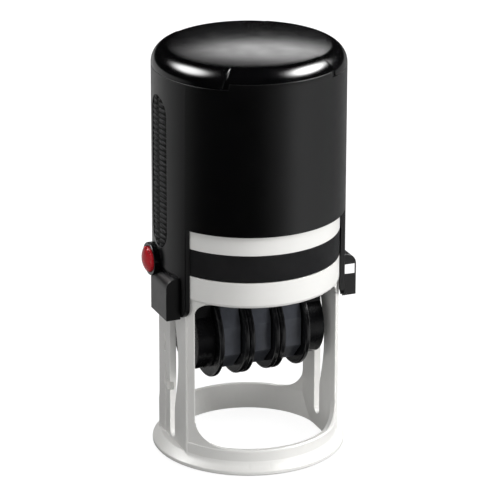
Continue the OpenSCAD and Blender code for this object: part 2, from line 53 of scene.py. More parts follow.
# Sizes that follow the part's source, in millimetres and degrees
CAP_R = 27.0
COVER_PLAIN_R = 26.6
COVER_TOP = 118.4
COVER_THICK = 2.2
COVER_WALL = 1.25
COVER_SEAT_Z = 110.0
CROWN_R = 240.0
SHOULDER_R = 5.0
RIM_HALF_ANGLE = 34.0
RIM_LOW = 113.79
EAR_LOW = 112.09
EAR_IN_R = 26.27
BASE_H = 6.8
LEG_BACK = 10.0
FRAME_HIDDEN_Z = 70.0
WINDOW_X = 21.2
WINDOW_Y = 9.9
WINDOW_TOP = 49.2
WINDOW_R = 4.0
SILL_R = 6.4
GRIP_LOW = 61.9
GRIP_HIGH = 105.77
GRIP_HALF_W = 5.2
GRIP_BACK_R = 26.32
GRIP_VALLEY_R = 26.62
PAD_LOW = 56.7
PAD_HIGH = 61.1
PAD_R = 20.4
RETURN_LOW = 67.0
RETURN_HIGH = 115.4
RETURN_R = 9.6
RETURN_WIRE = 1.1
RETURN_TURNS = 7
RETURN_CLOSED = 1.6
BUTTON_Y = 3.0
BUTTON_Z = 57.5
BUTTON_COIL_R = 2.425
BUTTON_WIRE = 0.4
BUTTON_TURNS = 2
BUTTON_COIL_H = 2.4

# Cover's own detail: sections, seams, lower edge and the bend of its ceiling (inward, then up or down)
CROWN_ROWS = 14
SHOULDER_ROWS = 18
PLAIN_TURN = 1.5
SEAM_TURN = 0.2
SEAM_LEAN = 5.0
SEAM_STEP = 1.1
SEAM_GROOVE = 0.45
SHOULDER_DROP = 0.7
COVER_EDGE = 0.18
COVER_BEND = 0.3 * COVER_EDGE
EAR_TAPER = 0.1
HOLLOW_TURN = (2.0, 2.6)
HOLLOW_CEILING = (6.0, 1.2)

# Grips' own detail
GRIP_RIDGES = 29
GRIP_GROOVE = 0.8
GRIP_GRID = (25, 121)
RIDGE_INSET = 0.25
RIDGE_LEAST = 0.3
RIDGE_RISE = 0.40
RIDGE_LENGTH_SHARE = 0.53
RIDGE_WIDTH_SHARE = 0.36
RIDGE_SIDES = (10, 9)
# Radii over which the grip's rubber goes from the painted shade of its valleys to its lighter, polished
# ridge tops
SHADE_AND_POLISH_LOW_R = GRIP_VALLEY_R + 0.08
SHADE_AND_POLISH_HIGH_R = GRIP_VALLEY_R + 0.34

# Springs' own detail
POINTS_A_TURN = 40.0
WIRE_SIDES = 10

# Points this near become one, in the solids and in the forms made here
NODE_WELD = 0.002
FORM_WELD = 0.001

# Angles under which faces count as one flat, edges stay unrounded and faces are shaded as one
FLAT_ANGLE = 0.5
EDGE_ANGLE = 32
ROUNDED_SMOOTH = 20
COVER_SMOOTH = 50
GRIP_SMOOTH = 50
PAD_SMOOTH = 60

# How near a point has to lie to count as on a form, and how squarely a face has to look out from the axis
ROUND_WALL_PLAY = 0.005
ROUND_WALL_FACING = 0.97
WINDOW_PLAY = 0.05
BASE_PLAY = 0.05
BACK_PLAY = 0.1

# Shares of the rounding away from the window, and where the cover sits on the sleeve
SLIGHT_SHARE = 0.35
SEAT_SHARE = 0.25


# ---------------------------------------------------------------- node trees

def fill(node, **values):
    """Sets a node's inputs by name, with _ for a space."""
    for key, value in values.items():
        node.inputs[key.replace("_", " ")].default_value = value


class Wiring:
    """Short calls that add nodes to a node tree."""

    def __init__(self, tree):
        self.tree = tree

    def node(self, kind, *sources, **settings):
        """A node with its inputs given in order: a socket is linked, a value is set, None is left."""
        made = self.tree.nodes.new(kind)
        for key, value in settings.items():
            setattr(made, key, value)
        for target, source in zip(made.inputs, sources):
            if isinstance(source, bpy.types.NodeSocket):
                self.link(source, target)
            elif source is not None:
                target.default_value = source
        return made

    def out(self, kind, *sources, **settings):
        """The first output of a new node."""
        return self.node(kind, *sources, **settings).outputs[0]

    def link(self, source, target):
        self.tree.links.new(source, target)

    def math(self, operation, *sources):
        return self.out("ShaderNodeMath", *sources, operation=operation)

    def dot(self, one, other):
        return self.node("ShaderNodeVectorMath", one, other, operation="DOT_PRODUCT").outputs["Value"]

    def length(self, vector):
        return self.node("ShaderNodeVectorMath", vector, operation="LENGTH").outputs["Value"]


# ---------------------------------------------------------------- materials

# Range that a noise mostly keeps to
NOISE_LOW = 0.3
NOISE_HIGH = 0.7

# Edge tints, wear on most finishes and a painted highlight along the rims of the date wheels: radius looked
# round, likeness of rounded and own normal where the tint starts and is full, patches
WEAR_RADIUS = 0.0004
WEAR_AND_GLINT_START = 0.995
WEAR_AND_GLINT_FULL = 0.93
WEAR_AND_GLINT_PATCHES = 900.0


class Finish(Wiring):
    """A procedural material in object coordinates."""

    def __init__(self, name):
        self.material = bpy.data.materials.new(name)
        self.material.use_nodes = True
        super().__init__(self.material.node_tree)
        self.shader = self.tree.nodes["Principled BSDF"]
        self.place = self.node("ShaderNodeTexCoord").outputs["Object"]

    def noise(self, scale, detail=3.0, rough=0.55, stretch=None):
        place = self.place
        if stretch:
            mapping = self.node("ShaderNodeMapping", place)
            fill(mapping, Scale=stretch)
            place = mapping.outputs["Vector"]
        made = self.node("ShaderNodeTexNoise", place)
        fill(made, Scale=scale, Detail=detail, Roughness=rough)
        return made.outputs["Fac"]

    def ramp(self, factor, low, high, colours):
        made = self.node("ShaderNodeValToRGB", factor)
        made.color_ramp.elements[0].position = low
        made.color_ramp.elements[1].position = high
        for element, colour in zip(made.color_ramp.elements, colours):
            element.color = (*colour, 1.0)
        return made.outputs["Color"]

    def mapped(self, value, low, high, to_low=0.0, to_high=1.0):
        return self.out("ShaderNodeMapRange", value, low, high, to_low, to_high)

    def spread(self, factor, low, high):
        """A noise spread over a range of values."""
        return self.mapped(factor, NOISE_LOW, NOISE_HIGH, low, high)

    def wear_and_glint_edges(self, source, tint, radius=WEAR_RADIUS):
        """The colour, tinted in patches where a rounded normal leaves the face's own: edge wear on most
        finishes, a painted highlight along the rims on the date wheels.
        """
        rounded = self.out("ShaderNodeBevel", radius, samples=4)
        own = self.node("ShaderNodeNewGeometry").outputs["Normal"]
        edge = self.mapped(self.dot(rounded, own), WEAR_AND_GLINT_START, WEAR_AND_GLINT_FULL)
        patch = self.math("MULTIPLY", edge, self.spread(self.noise(WEAR_AND_GLINT_PATCHES), 0.0, 1.0))
        made = self.node("ShaderNodeMix", patch, data_type="RGBA")
        self.link(source, made.inputs["A"])
        fill(made, B=(*tint, 1.0))
        return made.outputs["Result"]

    def height_out(self, low, high):
        """0 at one distance from the upright axis in millimetres, 1 at another."""
        flat = self.out("ShaderNodeVectorMath", self.place, (1.0, 1.0, 0.0), operation="MULTIPLY")
        return self.mapped(self.length(flat), low * MM, high * MM)

    def colour(self, source):
        self.link(source, self.shader.inputs["Base Color"])

    def rough(self, source):
        self.link(source, self.shader.inputs["Roughness"])

    def relief(self, height, depth, strength):
        made = self.node("ShaderNodeBump")
        fill(made, Distance=depth, Strength=strength)
        self.link(height, made.inputs["Height"])
        self.link(made.outputs["Normal"], self.shader.inputs["Normal"])


def mottled(name, colours, mottle, smear, rough, grain, relief, edge_wear_and_glint=None, top=NOISE_HIGH, **levels):
    """A finish with mottled colours, smears of gloss and a fine grain.

    mottle, smear and grain are noises: scale, then detail and so on. relief is the grain's depth
    in metres and its strength. The edge tint argument gives the tint of the edges, then its radius: wear on
    most finishes, a painted highlight along the rims of the date wheels.
    """
    finish = Finish(name)
    colour = finish.ramp(finish.noise(*mottle), NOISE_LOW, top, colours)
    finish.colour(finish.wear_and_glint_edges(colour, *edge_wear_and_glint) if edge_wear_and_glint else colour)
    finish.rough(finish.spread(finish.noise(*smear), *rough))
    finish.relief(finish.noise(*grain), *relief)
    fill(finish.shader, **levels)
    return finish.material


def grip_rubber():
    """Dark rubber, polished on the tops of the ridges; its colour carries painted shade, darker in the
    valleys and lighter on the ridge tops.
    """
    finish = Finish("grip_rubber")
    ridge = finish.height_out(SHADE_AND_POLISH_LOW_R, SHADE_AND_POLISH_HIGH_R)
    polish_and_painted_shade = finish.math("MULTIPLY", ridge, finish.spread(finish.noise(700.0, 4.0), 0.6, 1.0))
    # Painted shade: darker colour down in the valleys, lighter on the ridge tops
    finish.colour(finish.ramp(polish_and_painted_shade, 0.1, 0.9, [(0.0025, 0.0025, 0.0025), (0.013, 0.013, 0.014)]))
    finish.rough(finish.ramp(polish_and_painted_shade, 0.1, 0.9, [(0.85, 0.85, 0.85), (0.48, 0.48, 0.48)]))
    finish.relief(finish.noise(4200.0), 4e-5, 0.3)
    fill(finish.shader, Specular_IOR_Level=0.22)
    return finish.material


DARK_PLASTIC = [(0.0025, 0.0025, 0.0028), (0.0045, 0.0045, 0.0050)]

FINISHES = {
    "pale_plastic": mottled(
        "pale_frame_plastic", [(0.71, 0.705, 0.685), (0.76, 0.755, 0.735)], mottle=(60.0, 4.0),
        smear=(380.0,), rough=(0.36, 0.46), grain=(3600.0, 2.0), relief=(2e-5, 0.12),
        edge_wear_and_glint=((0.82, 0.81, 0.79),)),
    "black_satin": mottled(
        "satin_black_plastic", [(0.0012, 0.0012, 0.0013), (0.0020, 0.0020, 0.0022)], mottle=(140.0,),
        smear=(420.0,), rough=(0.29, 0.36), grain=(5200.0, 2.0), relief=(2e-5, 0.18),
        edge_wear_and_glint=((0.013, 0.013, 0.014),)),
    "black_gloss": mottled(
        "gloss_black_plastic", [(0.0010, 0.0010, 0.0012), (0.0018, 0.0018, 0.0020)], mottle=(90.0,),
        smear=(210.0, 5.0), rough=(0.12, 0.17), grain=(900.0, 2.0), relief=(1e-5, 0.05)),
    "black_rubber": grip_rubber(),
    "red_plastic": mottled(
        "red_button_plastic", [(0.44, 0.012, 0.020), (0.53, 0.018, 0.026)], mottle=(260.0,),
        smear=(600.0,), rough=(0.24, 0.34), grain=(4000.0,), relief=(1e-5, 0.08),
        edge_wear_and_glint=((0.60, 0.05, 0.06),), Specular_IOR_Level=0.3),
    "dark_plastic": mottled(
        "carrier_dark_plastic", DARK_PLASTIC, mottle=(200.0,),
        smear=(480.0,), rough=(0.20, 0.30), grain=(3000.0,), relief=(1e-5, 0.08),
        edge_wear_and_glint=((0.012, 0.012, 0.013),), Specular_IOR_Level=0.2),
    "band_rubber": mottled(
        "date_band_rubber", [(0.041, 0.044, 0.053), (0.054, 0.058, 0.068)], mottle=(520.0, 4.0),
        smear=(800.0,), rough=(0.30, 0.42), grain=(4800.0,), relief=(2e-5, 0.2),
        edge_wear_and_glint=((0.075, 0.080, 0.090),)),
    "stamp_rubber": mottled(
        "text_plate_rubber", [(0.24, 0.25, 0.24), (0.31, 0.32, 0.31)], mottle=(420.0, 4.0),
        smear=(700.0,), rough=(0.55, 0.7), grain=(3800.0,), relief=(3e-5, 0.25)),
    "inner_plastic": mottled(
        "nose_bar_plastic", [(0.52, 0.51, 0.47), (0.60, 0.59, 0.55)], mottle=(160.0,),
        smear=(500.0,), rough=(0.4, 0.5), grain=(3000.0,), relief=(2e-5, 0.15)),
    "ink_felt": mottled(
        "ink_pad_felt", [(0.018, 0.011, 0.030), (0.050, 0.034, 0.075)], mottle=(260.0, 5.0), top=0.75,
        smear=(900.0,), rough=(0.75, 0.95), grain=(5200.0, 4.0, 0.7), relief=(12e-5, 0.7)),
    "steel_wire": mottled(
        "spring_steel_wire", [(0.46, 0.47, 0.48), (0.60, 0.61, 0.62)], mottle=(600.0,),
        smear=(1500.0,), rough=(0.24, 0.38), grain=(5000.0,), relief=(1e-5, 0.12), Metallic=1.0),
    "steel_pin": mottled(
        "turned_steel_pin", [(0.52, 0.53, 0.54), (0.64, 0.65, 0.66)], mottle=(500.0,),
        smear=(300.0,), rough=(0.2, 0.32), grain=(600.0, 2.0, 0.5, (12.0, 1.0, 1.0)), relief=(1e-5, 0.2),
        Metallic=1.0),
}

# Finishes of single pieces that share a slot with others
TRAY_FINISH = mottled(
    "matt_black_tray", [(0.0105, 0.0105, 0.0110), (0.0140, 0.0140, 0.0145)], mottle=(180.0,),
    smear=(520.0,), rough=(0.60, 0.72), grain=(4600.0, 3.0), relief=(3e-5, 0.3),
    edge_wear_and_glint=((0.022, 0.022, 0.023),), Specular_IOR_Level=0.05)
# The date wheels' edge tint is a painted highlight: thin light lines along the rims of the dark plastic
WHEEL_FINISH = mottled(
    "date_wheel_plastic", DARK_PLASTIC, mottle=(200.0,),
    smear=(480.0,), rough=(0.16, 0.26), grain=(3000.0,), relief=(1e-5, 0.08),
    edge_wear_and_glint=((0.20, 0.205, 0.215), 0.0003))


# ------------------------------------------------------------------- pieces

def add_piece(name, mesh):
    piece = bpy.data.objects.new(name, mesh)
    scene.collection.objects.link(piece)
    return piece


def smooth(mesh, angle):
    mesh.polygons.foreach_set("use_smooth", [True] * len(mesh.polygons))
    mesh.set_sharp_from_angle(angle=math.radians(angle))


def form_mesh(form, name):
    """Turns a form into a mesh and frees it."""
    mesh = bpy.data.meshes.new(name)
    form.to_mesh(mesh)
    form.free()
    return mesh


def form_piece(form, name, angle):
    """Turns a form into a piece that is smooth where its faces meet at less than an angle."""
    mesh = form_mesh(form, name)
    smooth(mesh, angle)
    return add_piece(name, mesh)


def settle(piece):
    """Turns a piece with modifiers into a plain mesh."""
    evaluated = piece.evaluated_get(bpy.context.evaluated_depsgraph_get())
    mesh = bpy.data.meshes.new_from_object(evaluated)
    piece.modifiers.clear()
    piece.data = mesh
    return piece


def paint(piece, material):
    piece.data.materials.clear()
    piece.data.materials.append(material)


def dress(piece, body, slot, *stands_for):
    """Gives a finished piece its body, its finish and the nodes that it stands for."""
    paint(piece, FINISHES[slot])
    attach(piece, body)
    if stands_for:
        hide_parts(*stands_for)
    return piece


def turned_normals(mesh):
    """Gives faces that lie round the upright axis the normals of a true cylinder."""
    normals = [corner.vector.copy() for corner in mesh.corner_normals]
    for face in mesh.polygons:
        reach = [mesh.vertices[spot].co.xy.length for spot in face.vertices]
        facing = face.normal.xy.dot(face.center.xy.normalized())
        if max(reach) - min(reach) > ROUND_WALL_PLAY * MM or abs(facing) < ROUND_WALL_FACING:
            continue
        for corner in face.loop_indices:
            out = mesh.vertices[mesh.loops[corner].vertex_index].co.xy.normalized()
            normals[corner] = Vector((out.x, out.y, 0.0)) * math.copysign(1.0, facing)
    mesh.normals_split_custom_set(normals)


def softened(node, name, width, segments=2, share=None):
    """A copy of a node's form with its outer edges rounded.

    share gives how much of the width an edge gets, from its two ends in millimetres.
    """
    form = bmesh.new()
    form.from_mesh(nodes[node].data)
    bmesh.ops.remove_doubles(form, verts=form.verts, dist=NODE_WELD * MM)
    bmesh.ops.dissolve_limit(
        form, angle_limit=math.radians(FLAT_ANGLE), verts=form.verts, edges=form.edges)
    weight = form.edges.layers.float.new("bevel_weight_edge")
    for edge in form.edges:
        if edge.is_convex and edge.calc_face_angle(0.0) > math.radians(EDGE_ANGLE):
            edge[weight] = share(*(vert.co / MM for vert in edge.verts)) if share else 1.0
    piece = form_piece(form, name, ROUNDED_SMOOTH)
    bevel = piece.modifiers.new("rounded_edges", "BEVEL")
    bevel.width = width * MM
    bevel.segments = segments
    bevel.limit_method = "WEIGHT"
    bevel.use_clamp_overlap = False
    bevel.harden_normals = True
    settle(piece)
    turned_normals(piece.data)
    return piece


def on_window(spot):
    """Whether a point lies on the outline of the frame's window."""
    if abs(spot.y) < WINDOW_Y or not BASE_H < spot.z < WINDOW_TOP:
        return False
    across = abs(spot.x) - WINDOW_X
    if spot.z < BASE_H + SILL_R:
        gap = math.hypot(across + SILL_R, spot.z - BASE_H - SILL_R) - SILL_R
    elif spot.z > WINDOW_TOP - WINDOW_R:
        gap = math.hypot(across + WINDOW_R, spot.z - WINDOW_TOP + WINDOW_R) - WINDOW_R
    else:
        gap = across
    return abs(gap) < WINDOW_PLAY


def frame_share(start, end):
    """Full rounding up the window, a little elsewhere.

    None at the window's lower corners, at the legs' back edges and where the cap hides the frame.
    """
    if start.z > FRAME_HIDDEN_Z:
        return 0.0
    if min(start.y, end.y) > LEG_BACK - BACK_PLAY and max(start.z, end.z) > BASE_H + BASE_PLAY:
        return 0.0
    if not (on_window(start) and on_window(end)):
        return SLIGHT_SHARE
    return 1.0 if start.z + end.z > 2 * (BASE_H + SILL_R) else 0.0


def sleeve_share(start, _end):
    """Hardly any rounding at the top, where the cover sits on the sleeve."""
    return SEAT_SHARE if start.z > COVER_SEAT_Z else 1.0


def turned_spot(form, radius, angle, height):
    """A point of a form turned about the upright axis, from millimetres."""
    return form.verts.new((radius * math.cos(angle) * MM, radius * math.sin(angle) * MM, height * MM))


def ear_share(angle, drop):
    """1 on an ear, 0 on the plain rim, with a short rounded step between that leans back as it drops."""
    off = abs((math.degrees(angle) + 90) % 180 - 90)
    step = (90 - RIM_HALF_ANGLE - SEAM_LEAN * drop - off) / SEAM_STEP + 0.5
    step = min(1.0, max(0.0, step))
    return step * step * (3 - 2 * step)


def cover_sizes(angle, drop):
    """Outer radius and lower edge of the cover at an angle, with the groove along its seam."""
    share = ear_share(angle, drop)
    groove = SEAM_GROOVE * (4 * share * (1 - share)) ** 2 * min(1.0, 3 * drop)
    radius = COVER_PLAIN_R + (CAP_R - COVER_PLAIN_R) * share - groove
    return radius, RIM_LOW + (EAR_LOW - RIM_LOW) * share


def cover_section(angle):
    """Points (radius, height) of the cover's section at an angle, from the crown down and in again."""
    centre = COVER_TOP - CROWN_R
    in_crown = CROWN_R - SHOULDER_R

    def turn_height(turn_r):
        return centre + math.sqrt(in_crown ** 2 - turn_r ** 2)

    turn_r = cover_sizes(angle, 0.0)[0] - SHOULDER_R
    lean = math.asin(turn_r / in_crown)
    line = []
    for k in range(1, CROWN_ROWS + 1):
        a = lean * k / CROWN_ROWS
        line.append((CROWN_R * math.sin(a), centre + CROWN_R * math.cos(a)))
    for k in range(1, SHOULDER_ROWS + 1):
        a = lean + (math.pi / 2 - lean) * k / SHOULDER_ROWS
        turn_r = cover_sizes(angle, SHOULDER_DROP * k / SHOULDER_ROWS)[0] - SHOULDER_R
        line.append((turn_r + SHOULDER_R * math.sin(a), turn_height(turn_r) + SHOULDER_R * math.cos(a)))
    r, low = cover_sizes(angle, 1.0)
    inner = COVER_PLAIN_R - COVER_WALL
    return line + [
        (r, low + COVER_EDGE),
        (r - COVER_BEND, low + COVER_BEND),
        (r - COVER_EDGE, low),
        (EAR_IN_R, low),
        (EAR_IN_R - EAR_TAPER, RIM_LOW),
        (inner, RIM_LOW),
        (inner - HOLLOW_TURN[0], turn_height(r - SHOULDER_R) + HOLLOW_TURN[1]),
        (inner - HOLLOW_CEILING[0], COVER_TOP - COVER_THICK - HOLLOW_CEILING[1]),
    ]


def cover_angles():
    """Angles of the cover's sections in degrees, close together at its four seams."""
    first = 90 - RIM_HALF_ANGLE - SEAM_LEAN - 1
    near = [first + SEAM_TURN * k for k in range(int((SEAM_LEAN + 2) / SEAM_TURN) + 1)]
    plain = [PLAIN_TURN * k for k in range(int(90 / PLAIN_TURN) + 1)]
    quarter = near + [a for a in plain if not near[0] - 0.5 < a < near[-1] + 0.5]
    return sorted({round(x % 360, 4) for a in quarter for x in (a, -a, 180 - a, 180 + a)})


def cover_dome():
    """The cover as a turned form: ears at both sides reach further out and down than the plain rim."""
    form = bmesh.new()
    rings = []
    for angle in map(math.radians, cover_angles()):
        rings.append([turned_spot(form, r, angle, z) for r, z in cover_section(angle)])
    pairs = list(zip(rings, rings[1:] + rings[:1]))
    for here, there in pairs:
        for row in range(len(here) - 1):
            form.faces.new((here[row], here[row + 1], there[row + 1], there[row]))
    crown = turned_spot(form, 0, 0, COVER_TOP)
    ceiling = turned_spot(form, 0, 0, COVER_TOP - COVER_THICK)
    for here, there in pairs:
        form.faces.new((crown, here[0], there[0]))
        form.faces.new((ceiling, there[-1], here[-1]))
    bmesh.ops.recalc_face_normals(form, faces=form.faces)
    return form_piece(form, "cover_dome", COVER_SMOOTH)


def ink_cushion():
    """The felt pad: a crowned round cushion, flat where it rests in the tray, with a pulled-in side."""
    # Points (radius, height) of its section, from the middle of its face round to its back
    middle = (PAD_LOW + PAD_HIGH) / 2
    line = [
        (0.0, PAD_LOW), (6.0, PAD_LOW + 0.01), (12.0, PAD_LOW + 0.03), (16.5, PAD_LOW + 0.06),
        (18.6, PAD_LOW + 0.16), (19.7, PAD_LOW + 0.5), (20.2, PAD_LOW + 1.1), (PAD_R - 0.15, middle),
        (20.2, PAD_HIGH - 1.0), (19.9, PAD_HIGH - 0.3), (19.3, PAD_HIGH), (12.0, PAD_HIGH), (0.0, PAD_HIGH),
    ]
    form = bmesh.new()
    angles = [TAU * k / TURN_ROWS for k in range(TURN_ROWS)]
    rings = [[turned_spot(form, r, angle, z) for angle in angles] for r, z in line]
    for one, other in zip(rings, rings[1:]):
        for k in range(TURN_ROWS):
            after = (k + 1) % TURN_ROWS
            form.faces.new((one[k], one[after], other[after], other[k]))
    bmesh.ops.remove_doubles(form, verts=form.verts, dist=FORM_WELD * MM)
    bmesh.ops.recalc_face_normals(form, faces=form.faces)
    return form_piece(form, "ink_cushion", PAD_SMOOTH)


class Tree(Wiring):
    """A Geometry Nodes tree with named sizes, ended by real meshes and a finish."""

    def __init__(self, name, sizes):
        super().__init__(bpy.data.node_groups.new(name, "GeometryNodeTree"))
        sockets = self.tree.interface
        sockets.new_socket("Geometry", in_out="OUTPUT", socket_type="NodeSocketGeometry")
        self.values = {}
        for size, value in sizes.items():
            kind = "NodeSocketInt" if isinstance(value, int) else "NodeSocketFloat"
            socket = sockets.new_socket(size, in_out="INPUT", socket_type=kind)
            self.values[socket.identifier] = value
        self.inputs = self.tree.nodes.new("NodeGroupInput").outputs

    def span(self, value, low, high):
        return self.math("MAXIMUM", self.math("MINIMUM", value, high), low)

    def spot(self, x, y, z):
        return self.out("ShaderNodeCombineXYZ", x, y, z)

    def here(self):
        """The coordinates of the point that a node works on."""
        return self.node("ShaderNodeSeparateXYZ", self.out("GeometryNodeInputPosition")).outputs

    def moved(self, geometry, spot=None, offset=None):
        return self.out("GeometryNodeSetPosition", geometry, None, spot, offset)

    def finish(self, geometry, material):
        real = self.out("GeometryNodeRealizeInstances", geometry)
        painted = self.node("GeometryNodeSetMaterial", self.out("GeometryNodeSetShadeSmooth", real))
        fill(painted, Material=material)
        self.node("NodeGroupOutput", painted.outputs[0])

    def piece(self, name):
        made = add_piece(name, bpy.data.meshes.new(name))
        modifier = made.modifiers.new(name, "NODES")
        modifier.node_group = self.tree
        for key, value in self.values.items():
            modifier[key] = value
        return settle(made)


def wound_wire(name, sizes):
    """A coil of wire up +Z: one closed turn at each end, even turns between."""
    tree = Tree(name + "_winding", sizes)
    size = tree.inputs
    line = tree.node("GeometryNodeResampleCurve", tree.out("GeometryNodeCurvePrimitiveLine"))
    tree.link(tree.math("MULTIPLY", size["Turns"], POINTS_A_TURN), line.inputs["Count"])
    along = tree.node("GeometryNodeSplineParameter").outputs["Factor"]
    turn = tree.math("MULTIPLY", along, size["Turns"])
    angle = tree.math("MULTIPLY", turn, TAU)
    inner_turns = tree.math("SUBTRACT", size["Turns"], 2.0)
    after_first = tree.math("SUBTRACT", turn, 1.0)
    after_inner = tree.math("SUBTRACT", after_first, inner_turns)
    first = tree.math("MULTIPLY", tree.span(turn, 0.0, 1.0), size["Closed pitch"])
    even = tree.math("MULTIPLY", tree.span(after_first, 0.0, inner_turns), size["Open pitch"])
    last = tree.math("MULTIPLY", tree.span(after_inner, 0.0, 1.0), size["Closed pitch"])
    half_wire = tree.math("MULTIPLY", size["Wire"], 0.5)
    height = tree.math("ADD", tree.math("ADD", first, even), tree.math("ADD", last, half_wire))
    spot = tree.spot(
        tree.math("MULTIPLY", tree.math("COSINE", angle), size["Mean radius"]),
        tree.math("MULTIPLY", tree.math("SINE", angle), size["Mean radius"]),
        height,
    )
    section = tree.node("GeometryNodeCurvePrimitiveCircle", WIRE_SIDES)
    tree.link(half_wire, section.inputs["Radius"])
    tube = tree.node("GeometryNodeCurveToMesh", tree.moved(line.outputs[0], spot), section.outputs[0])
    fill(tube, Fill_Caps=True)
    tree.finish(tube.outputs[0], FINISHES["steel_wire"])
    return tree.piece(name)


def return_coil():
    length = RETURN_HIGH - RETURN_LOW
    open_pitch = (length - RETURN_WIRE - 2 * RETURN_CLOSED) / (RETURN_TURNS - 2)
    piece = wound_wire("return_coil", {
        "Turns": RETURN_TURNS, "Mean radius": RETURN_R * MM, "Wire": RETURN_WIRE * MM,
        "Closed pitch": RETURN_CLOSED * MM, "Open pitch": open_pitch * MM,
    })
    piece.data.transform(Matrix.Translation((0, 0, RETURN_LOW * MM)))
    return piece


def button_coil():
    pitch = (BUTTON_COIL_H - BUTTON_WIRE) / BUTTON_TURNS
    piece = wound_wire("button_coil", {
        "Turns": BUTTON_TURNS, "Mean radius": BUTTON_COIL_R * MM, "Wire": BUTTON_WIRE * MM,
        "Closed pitch": pitch * MM, "Open pitch": 0.0,
    })
    turn = Matrix.Rotation(math.radians(-90), 4, "Y")
    piece.data.transform(Matrix.Translation((-CAP_R * MM, BUTTON_Y * MM, BUTTON_Z * MM)) @ turn)
    return piece


def round_end(tree, height):
    """Half width of the grip at a height: full in the middle, a half round at both ends."""
    size = tree.inputs
    half = size["Half width"]
    low = tree.math("SUBTRACT", tree.math("ADD", size["Low"], half), height)
    high = tree.math("ADD", tree.math("SUBTRACT", height, size["High"]), half)
    past = tree.math("MAXIMUM", tree.math("MAXIMUM", low, high), 0.0)
    square = tree.math("SUBTRACT", tree.math("MULTIPLY", half, half), tree.math("MULTIPLY", past, past))
    return tree.math("SQRT", tree.math("MAXIMUM", square, 1e-9))


def grip_ridges(tree):
    """Bars with round ends in two columns, as long as the grip is wide at their height."""
    size = tree.inputs
    row = tree.node("GeometryNodeMeshLine", size["Ridges"])
    start = tree.spot(0.0, 0.0, tree.math("MULTIPLY_ADD", size["Pitch"], 0.5, size["Low"]))
    tree.link(start, row.inputs["Start Location"])
    tree.link(tree.spot(0.0, 0.0, size["Pitch"]), row.inputs["Offset"])
    reach = tree.math("SUBTRACT", round_end(tree, tree.here()[2]), RIDGE_INSET * MM)
    half_groove = tree.math("MULTIPLY", size["Groove"], 0.5)
    column = tree.math("MAXIMUM", tree.math("SUBTRACT", reach, half_groove), RIDGE_LEAST * MM)
    middle = tree.math("MULTIPLY_ADD", column, 0.5, half_groove)
    bar = tree.out("GeometryNodeMeshUVSphere", *RIDGE_SIDES, 1.0)
    stretch = tree.spot(
        RIDGE_RISE * MM,
        tree.math("MULTIPLY", column, RIDGE_LENGTH_SHARE),
        tree.math("MULTIPLY", size["Pitch"], RIDGE_WIDTH_SHARE),
    )
    columns = []
    for way in (-1.0, 1.0):
        across = tree.spot(0.0, tree.math("MULTIPLY", middle, way), 0.0)
        bars = tree.node("GeometryNodeInstanceOnPoints", tree.moved(row.outputs[0], offset=across))
        tree.link(bar, bars.inputs["Instance"])
        tree.link(stretch, bars.inputs["Scale"])
        columns.append(tree.out("GeometryNodeRealizeInstances", bars.outputs[0]))
    return columns


def grip_plate(tree):
    """A grid in (across, up), squeezed to round ends and thickened inward: its shell and its own face."""
    size = tree.inputs
    tall = tree.math("SUBTRACT", size["High"], size["Low"])
    place = tree.here()
    up = tree.math("MULTIPLY_ADD", tree.math("ADD", place[1], 0.5), tall, size["Low"])
    flat = tree.spot(0.0, tree.math("MULTIPLY", place[0], round_end(tree, up)), up)
    plate = tree.moved(tree.out("GeometryNodeMeshGrid", 2.0, 1.0, *GRIP_GRID), flat)
    thick = tree.math("SUBTRACT", size["Valley radius"], size["Back radius"])
    shell = tree.node("GeometryNodeExtrudeMesh", plate)
    tree.link(tree.spot(tree.math("MULTIPLY", thick, -1.0), 0.0, 0.0), shell.inputs["Offset"])
    fill(shell, Offset_Scale=1.0, Individual=False)
    return [shell.outputs[0], tree.out("GeometryNodeFlipFaces", plate)]


def ridged_grip(name, side):
    """A grip insert: a thin plate with two columns of rounded ridges, bent round the cap's side."""
    pitch = (GRIP_HIGH - GRIP_LOW) / GRIP_RIDGES
    tree = Tree(name + "_ridges", {
        "Ridges": GRIP_RIDGES, "Pitch": pitch * MM, "Half width": GRIP_HALF_W * MM,
        "Low": GRIP_LOW * MM, "High": GRIP_HIGH * MM, "Groove": GRIP_GROOVE * MM,
        "Valley radius": GRIP_VALLEY_R * MM, "Back radius": GRIP_BACK_R * MM,
    })
    joined = tree.node("GeometryNodeJoinGeometry")
    for part in grip_ridges(tree) + grip_plate(tree):
        tree.link(part, joined.inputs[0])
    valley = tree.inputs["Valley radius"]
    place = tree.here()
    radius = tree.math("ADD", place[0], valley)
    angle = tree.math("ARCSINE", tree.math("DIVIDE", place[1], valley))
    bent = tree.spot(
        tree.math("MULTIPLY", tree.math("MULTIPLY", radius, side), tree.math("COSINE", angle)),
        tree.math("MULTIPLY", radius, tree.math("SINE", angle)),
        place[2],
    )
    tree.finish(tree.moved(joined.outputs[0], bent), FINISHES["black_rubber"])
    piece = tree.piece(name)
    form = bmesh.new()
    form.from_mesh(piece.data)
    bmesh.ops.remove_doubles(form, verts=form.verts, dist=FORM_WELD * MM)
    bmesh.ops.recalc_face_normals(form, faces=form.faces)
    form.to_mesh(piece.data)
    form.free()
    smooth(piece.data, GRIP_SMOOTH)
    return piece


# ----------------------------------------------------------------- the stamp

frame_body = softened("base_frame", "frame_body", width=0.55, segments=3, share=frame_share)
dress(frame_body, "frame", "pale_plastic", "base_frame")
tray = dress(softened("pad_tray", "tray_body", width=0.3), "frame", "black_satin", "pad_tray")
paint(tray, TRAY_FINISH)
pad = dress(ink_cushion(), "frame", "ink_felt", "ink_pad")
coil = dress(return_coil(), "frame", "steel_wire", "return_spring")
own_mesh(coil)

